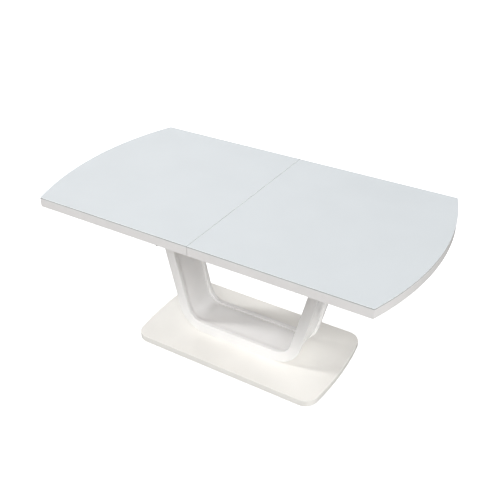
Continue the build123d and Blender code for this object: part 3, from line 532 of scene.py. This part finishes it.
# screws up through each slide angle into the board, and sideways into the neck of the tee
ANGLE_T, ANGLE_IN, UP_OUT = 0.003, 0.024, 0.008
NECK_ON, NECK_IN = 0.012, 0.019
UP_SCREW, NECK_SCREW = (0.002, 0.014, 0.004, 0.002), (0.002, 0.009, 0.004, 0.002)
flange_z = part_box("right_slide_angles")[1].z - ANGLE_T
angle_xs = (runner_low.x + ANGLE_IN, (runner_low.x + runner_high.x) / 2,
            runner_high.x - ANGLE_IN)
for half, way in (("left", -1), ("right", 1)):
    coat_nodes(edge_lacquer, f"{half}_board",
               *[f"{half}_{strip}_strip" for strip in ("front", "rear", "seam", "end")])
    coat_nodes(zinc_steel, f"{half}_slide_angles")
    up_places = [((way * x, sy * (beam_low.y + UP_OUT), flange_z), UP)
                 for x in angle_xs for sy in (-1, 1)]
    neck_places = [((way * (x + NECK_ON), sy * (beam_low.y - NECK_IN), runner_z), (0, sy, 0))
                   for x in angle_xs for sy in (-1, 1)]
    screws(f"{half}_angle_cross_screws", f"{half}_top", f"{half}_angle_screws",
           [(up_places, UP_SCREW, False), (neck_places, NECK_SCREW, False)])

# ---- Glass of the two halves --------------------------------------------------------
# A 5 mm tempered sheet on each half, cut to the board's outline, painted white on its back
# and etched on top. Its edge is ground and polished, with a narrow arris above.
BOW, ARRIS, GLASS_T, ARC_STEPS = 0.082, 0.0008, 0.005, 64


# Back-painted glass with an acid-etched face: a cool white seen through a satin surface, so
# reflections are wide and weak. The etch varies a little over 200 mm, and its grit, far finer
# than can be seen, is drawn at 1.2 mm. The arris takes the same surface in lighter whites, a
# painted highlight for the thin line of light that the narrow arris catches.
def etched_glass(name, light, dark, roughness):
    material, tree, place = start_material(name)
    etch = add(tree, "ShaderNodeTexNoise", {"Vector": place}, Scale=1 / 0.2, Detail=2.0)
    tone = add(tree, "ShaderNodeValToRGB", {"Fac": etch.outputs["Fac"]},
               stops=((0.35, dark), (0.65, light)))
    haze = add(tree, "ShaderNodeMapRange", {"Value": etch.outputs["Fac"]},
               To_Min=roughness - 0.02, To_Max=roughness + 0.02)
    frost = add(tree, "ShaderNodeTexNoise", {"Vector": place}, Scale=1 / 0.0012, Detail=2.0)
    bump = add(tree, "ShaderNodeBump", {"Height": frost.outputs["Fac"]},
               Strength=0.04, Distance=0.0001)
    shader = add(tree, "ShaderNodeBsdfPrincipled",
                 {"Base Color": tone.outputs["Color"], "Roughness": haze.outputs["Result"],
                  "Normal": bump.outputs["Normal"]}, IOR=1.52)
    add(tree, "ShaderNodeOutputMaterial", {"Surface": shader.outputs["BSDF"]})
    return material


# The polished edge of that glass: the paint behind it seen through the sheet, a grey line
# under the white face, with a wet gloss and the streaks of the polishing wheel, about 70 mm
# long and 2.4 mm high.
def polished_edge(name, light, dark):
    material, tree, place = start_material(name)
    drawn = add(tree, "ShaderNodeMapping", {"Vector": place}, Scale=(1.0, 1.0, 30.0))
    streak = add(tree, "ShaderNodeTexNoise", {"Vector": drawn.outputs["Vector"]},
                 Scale=14.0, Detail=3.0)
    tone = add(tree, "ShaderNodeValToRGB", {"Fac": streak.outputs["Fac"]},
               stops=((0.35, dark), (0.65, light)))
    shader = add(tree, "ShaderNodeBsdfPrincipled", {"Base Color": tone.outputs["Color"]},
                 Roughness=0.08, IOR=1.52, Coat_Weight=0.5, Coat_Roughness=0.02)
    add(tree, "ShaderNodeOutputMaterial", {"Surface": shader.outputs["BSDF"]})
    return material


glass_face = etched_glass("glass_etched_back_painted", "E4E9EC", "E2E7EA", 0.40)
glass_edge = polished_edge("glass_edge_polished", "BFC3C3", "B8BCBC")
# the arris's lighter whites are a painted highlight, the line of light along the top edge
arris_painted_highlight = etched_glass("glass_arris_painted_highlight", "F4F8F8", "EEF3F3", 0.3)


def glass_sheets(name, body, node, sheets):
    """Sheets with an etched face, an arris and a polished edge, as one object.

    Each is (outline counterclockwise, z0, z1, etched side up).
    """
    face_slot, edge_slot, arris_slot = range(3)
    data = bpy.data.meshes.new(name)
    whole = bmesh.new()
    for outline, z0, z1, face_up in sheets:
        face_z, back_z, rise = (z1, z0, -ARRIS) if face_up else (z0, z1, ARRIS)
        centre = sum((Vector(p) for p in outline), Vector((0, 0))) / len(outline)
        count = len(outline)
        # the face sits one arris inside the outline
        inner = []
        for k in range(count):
            a, b, c = (Vector(outline[(k + j) % count]) for j in (-1, 0, 1))
            n0, n1 = (b - a).orthogonal().normalized(), (c - b).orthogonal().normalized()
            n0, n1 = (n if n.dot(b - centre) > 0 else -n for n in (n0, n1))
            inner.append(b - (n0 + n1) * (ARRIS / (1 + n0.dot(n1))))
        rings = [[whole.verts.new((p[0], p[1], z)) for p in ring] for ring, z in
                 ((inner, face_z), (outline, face_z + rise), (outline, back_z))]
        whole.faces.new(rings[0]).material_index = face_slot
        whole.faces.new(rings[2]).material_index = face_slot
        for upper, lower, slot in ((rings[0], rings[1], arris_slot),
                                   (rings[1], rings[2], edge_slot)):
            for k in range(count):
                after = (k + 1) % count
                wall = whole.faces.new((upper[k], upper[after], lower[after], lower[k]))
                wall.material_index = slot
    bmesh.ops.recalc_face_normals(whole, faces=whole.faces)
    whole.to_mesh(data)
    whole.free()
    for material in (glass_face, glass_edge, arris_painted_highlight):
        data.materials.append(material)
    piece = bpy.data.objects.new(name, data)
    scene.collection.objects.link(piece)
    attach(piece, body)
    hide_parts(node)


low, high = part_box("right_glass")
bow_r = (high.y ** 2 + BOW ** 2) / (2 * BOW)
reach = math.asin(high.y / bow_r)
arc = [(high.x - bow_r + bow_r * math.cos(a), bow_r * math.sin(a))
       for a in (reach * (2 * k / ARC_STEPS - 1) for k in range(ARC_STEPS + 1))]
right_outline = [(low.x, -high.y), *arc, (low.x, high.y)]
for half, way in (("left", -1), ("right", 1)):
    outline = [(way * x, y) for x, y in right_outline][::way]
    glass_sheets(f"{half}_glass_sheet", f"{half}_top", f"{half}_glass",
                 [(outline, low.z, high.z, True)])

# ---- Seam locks ---------------------------------------------------------------------
# Under the seam a hooked lever on the left half catches a keeper on the right one, at the
# front and at the rear. The levers are stamped steel with a sleeve of dipped vinyl to hold.
coat_nodes(zinc_steel, "lock_posts", "lock_keepers", "front_lock_lever", "rear_lock_lever")

# the dipped vinyl is a mid grey, a little glossier than the nylon
grip_vinyl = moulded("vinyl_grey_dipped", "54575B", "494C50", 0.38)

# the sleeve's stations are (place along the handle, share of the full section)
PIVOT_X, PIVOT_Y, GRIP_TURN = -0.080, 0.392, math.radians(180 + 32)
GRIP_WIDE, GRIP_TALL, GRIP_CORNER = 0.0088, 0.0042, 0.0028
RIBS, RIB_START, RIB_PITCH, GROOVE = 6, 0.040, 0.007, 0.94
stations = [(0.031, 0.80), (0.0325, 0.97), (0.034, 1.0)]
for k in range(RIBS):
    x = RIB_START + RIB_PITCH * k
    stations += [(x, 1.0), (x + 0.001, GROOVE), (x + 0.0025, GROOVE), (x + 0.0035, 1.0)]
stations += [(0.0835, 1.0), (0.0852, 0.92), (0.0863, 0.7), (0.0868, 0.4)]
low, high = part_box("front_lock_lever")
lever_mid = (low.z + high.z) / 2
for name, way in (("front", -1), ("rear", 1)):
    sleeve = bmesh.new()
    rings = []
    for x, scale in stations:
        wide, tall, corner = GRIP_WIDE * scale, GRIP_TALL * scale, GRIP_CORNER * scale
        ring = []
        for cx, cy, a0 in ((wide - corner, tall - corner, 0), (corner - wide, tall - corner, 90),
                           (corner - wide, corner - tall, 180),
                           (wide - corner, corner - tall, 270)):
            for a in (0, 30, 60, 90):
                t = math.radians(a0 + a)
                ring.append((x, cx + corner * math.cos(t), cy + corner * math.sin(t)))
        rings.append([sleeve.verts.new(p) for p in ring])
    for a, b in zip(rings, rings[1:]):
        for k in range(len(a)):
            after = (k + 1) % len(a)
            sleeve.faces.new((a[k], a[after], b[after], b[k]))
    sleeve.faces.new(rings[0])
    sleeve.faces.new(rings[-1])
    to_pivot = Matrix.Translation((PIVOT_X, -PIVOT_Y, lever_mid))
    bmesh.ops.transform(sleeve, matrix=to_pivot @ Matrix.Rotation(GRIP_TURN, 4, "Z"),
                        verts=sleeve.verts)
    if way == 1:
        bmesh.ops.scale(sleeve, vec=(1, -1, 1), verts=sleeve.verts)
    bmesh.ops.recalc_face_normals(sleeve, faces=sleeve.faces)
    data = bpy.data.meshes.new(f"{name}_lock_grip")
    sleeve.to_mesh(data)
    sleeve.free()
    data.materials.append(grip_vinyl)
    data.polygons.foreach_set("use_smooth", [True] * len(data.polygons))
    grip = bpy.data.objects.new(f"{name}_lock_grip", data)
    scene.collection.objects.link(grip)
    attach(grip, f"{name}_lock")

# ---- Stored leaf --------------------------------------------------------------------
# Two boards hinged at their rear edges and folded glass to glass in the well under the
# seam, with felt between. Steel arms swing it up once the halves are apart.
coat_nodes(edge_lacquer, "leaf_lower_board", "leaf_upper_board")
coat_nodes(grey_felt, "leaf_felt_pads")
coat_nodes(zinc_steel, "leaf_hinge_plates", "leaf_pins", "leaf_lift_arms", "leaf_arm_stands")
low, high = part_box("leaf_glasses")
rectangle = [(low.x, low.y), (high.x, low.y), (high.x, high.y), (low.x, high.y)]
glass_sheets("leaf_glass_sheets", "base_frame", "leaf_glasses",
             [(rectangle, low.z, low.z + GLASS_T, True),
              (rectangle, high.z - GLASS_T, high.z, False)])

# ---- Studio -------------------------------------------------------------------------
# A white floor that the camera sees, a greyer one that gives the bounce, an even dim sky, a
# key light from the front left, wide ones from the front and the right, and two faint ones
# from behind.
FLOOR_HALF = 30
scene.view_settings.view_transform = "Standard"
scene.view_settings.look = "None"


# Seamless paper: matt and plain. The one that the camera sees glows a little, to stay white.
def floor(name, height, for_camera, albedo, glow):
    data = bpy.data.meshes.new(name)
    corners = [(sx * FLOOR_HALF, sy * FLOOR_HALF, height)
               for sx, sy in ((-1, -1), (1, -1), (1, 1), (-1, 1))]
    data.from_pydata(corners, [], [(0, 1, 2, 3)])
    plane = bpy.data.objects.new(name, data)
    scene.collection.objects.link(plane)
    material, tree, _ = start_material(name)
    shader = add(tree, "ShaderNodeBsdfPrincipled", Base_Color=linear(albedo), Roughness=0.9,
                 Emission_Color=(1, 1, 1, 1), Emission_Strength=glow)
    add(tree, "ShaderNodeOutputMaterial", {"Surface": shader.outputs["BSDF"]})
    data.materials.append(material)
    plane.visible_camera = for_camera
    plane.visible_diffuse = plane.visible_glossy = not for_camera
    plane.visible_transmission = plane.visible_shadow = not for_camera


floor("floor_seen", -0.0005, True, "F4F4F4", 0.75)
floor("floor_bounce", -0.001, False, "8E8C89", 0.0)

sky = bpy.data.worlds.new("studio_sky")
scene.world = sky
sky.use_nodes = True
tree = sky.node_tree
tree.nodes.clear()
path = add(tree, "ShaderNodeLightPath")
white = add(tree, "ShaderNodeBackground", Color=(1, 1, 1, 1), Strength=1.0)
dome = add(tree, "ShaderNodeBackground", Color=linear("FAFBFC"), Strength=0.15)
both = add(tree, "ShaderNodeMixShader",
           {0: path.outputs["Is Camera Ray"], 1: dome.outputs["Background"],
            2: white.outputs["Background"]})
add(tree, "ShaderNodeOutputWorld", {"Surface": both.outputs["Shader"]})


def soft_sun(name, azimuth, elevation, strength, spread):
    """A wide white light, at an azimuth from the front (-Y) towards +X."""
    data = bpy.data.lights.new(name, "SUN")
    data.energy, data.angle = strength, math.radians(spread)
    lamp = bpy.data.objects.new(name, data)
    scene.collection.objects.link(lamp)
    a, e = math.radians(azimuth), math.radians(elevation)
    towards = Vector((math.sin(a) * math.cos(e), -math.cos(a) * math.cos(e), math.sin(e)))
    lamp.rotation_euler = towards.to_track_quat("Z", "Y").to_euler()


soft_sun("key_left", -70, 28, 1.95, 12)
soft_sun("front", 28, 32, 1.65, 40)
soft_sun("right", 88, 24, 1.35, 40)
soft_sun("rear_left", -135, 30, 0.3, 40)
soft_sun("rear_right", 145, 28, 0.3, 40)

# ---- Camera -------------------------------------------------------------------------
# It stands to the right of the front, a little above head height, and looks down on the
# top. It is rolled by half a degree.
AZIMUTH, ELEVATION, ROLL = math.radians(30.595), math.radians(31.794), math.radians(0.516)
DISTANCE, AIM = 2.5668, Vector((0.20235, -0.33707, 0.740))
back = Vector((math.sin(AZIMUTH) * math.cos(ELEVATION),
               -math.cos(AZIMUTH) * math.cos(ELEVATION), math.sin(ELEVATION)))
side = Vector((0, 0, 1)).cross(back).normalized()
up = back.cross(side)
right = side * math.cos(ROLL) + up * math.sin(ROLL)
above = up * math.cos(ROLL) - side * math.sin(ROLL)
lens = bpy.data.cameras.new("camera")
lens.sensor_width, lens.lens = 36.0, 50.684
camera = bpy.data.objects.new("camera", lens)
scene.collection.objects.link(camera)
camera.matrix_world = (Matrix.Translation(AIM + back * DISTANCE)
                       @ Matrix((right, above, back)).transposed().to_4x4())
scene.camera = camera
